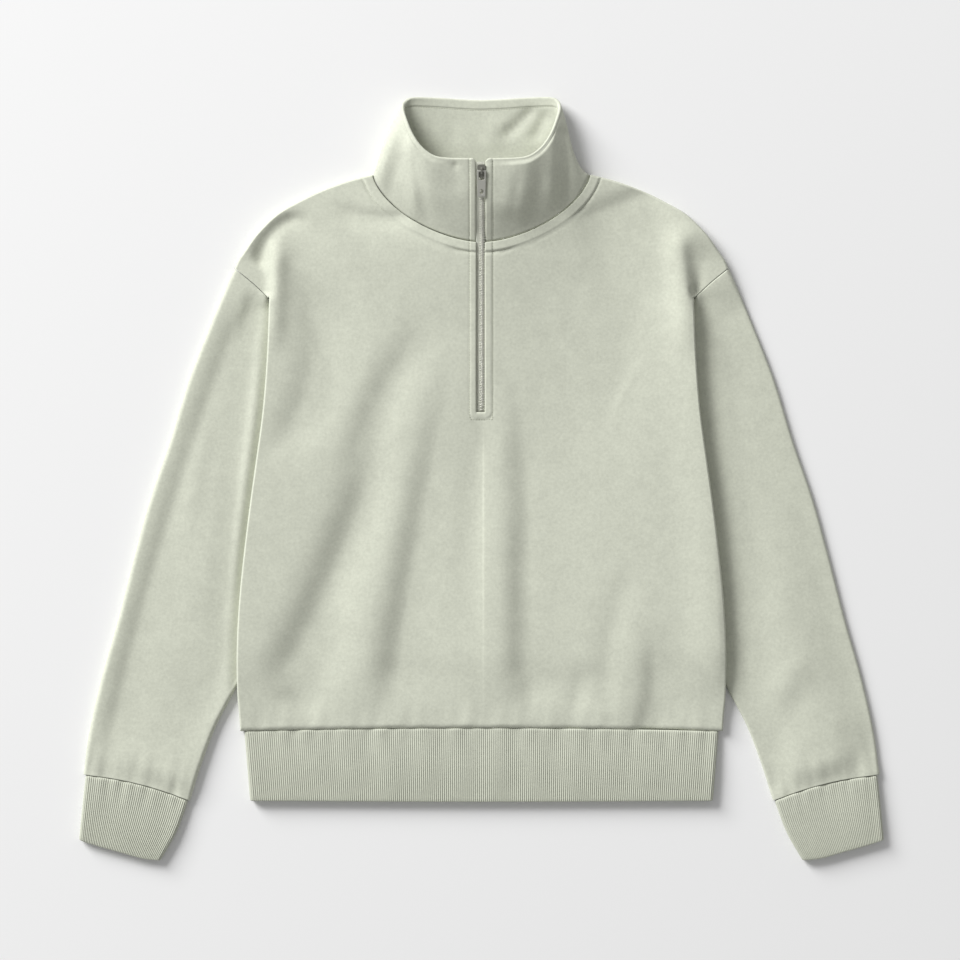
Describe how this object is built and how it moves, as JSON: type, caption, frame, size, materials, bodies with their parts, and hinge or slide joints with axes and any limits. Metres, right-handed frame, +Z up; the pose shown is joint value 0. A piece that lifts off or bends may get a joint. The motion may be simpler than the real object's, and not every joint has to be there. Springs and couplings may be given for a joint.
{
  "type": "quarter zip sweatshirt",
  "caption": "Quarter zip sweatshirt in brushed fleece, laid flat: stand collar half open, long sleeves beside the body, ribbed cuffs and hem, hinged zip pull.",
  "frame": {"origin": "on the surface the garment lies on, under the middle of its outline", "axes": "+X across the garment to the picture's right, +Y from hem to collar, +Z up from the surface"},
  "size_m": [0.8056, 0.7635, 0.0433],
  "materials": {
    "fleece": "soft brushed pile, pale grey-green",
    "rib_knit": "one by one rib, matt",
    "zip_tape": "woven tape, matt",
    "gunmetal": "dull plated zip metal"
  },
  "bodies": {
    "garment": {"front_panel": "fleece", "back_panel": "fleece", "sleeve_left": "fleece", "sleeve_right": "fleece", "collar": "fleece", "cuff_left": "rib_knit", "cuff_right": "rib_knit", "hem_band": "rib_knit", "zip_tape_left": "zip_tape", "zip_tape_right": "zip_tape", "zip_chain": "gunmetal", "zip_bottom_stop": "gunmetal", "zip_slider": "gunmetal"},
    "pull_tab": {"zip_pull": "gunmetal"}
  },
  "joints": [
    {"name": "pull_hinge", "type": "hinge", "parent": "garment", "child": "pull_tab", "pos_m": [0.0009, 0.30534, 0.04066], "axis": [-1, 0, 0], "range_deg": [0, 165]}
  ]
}
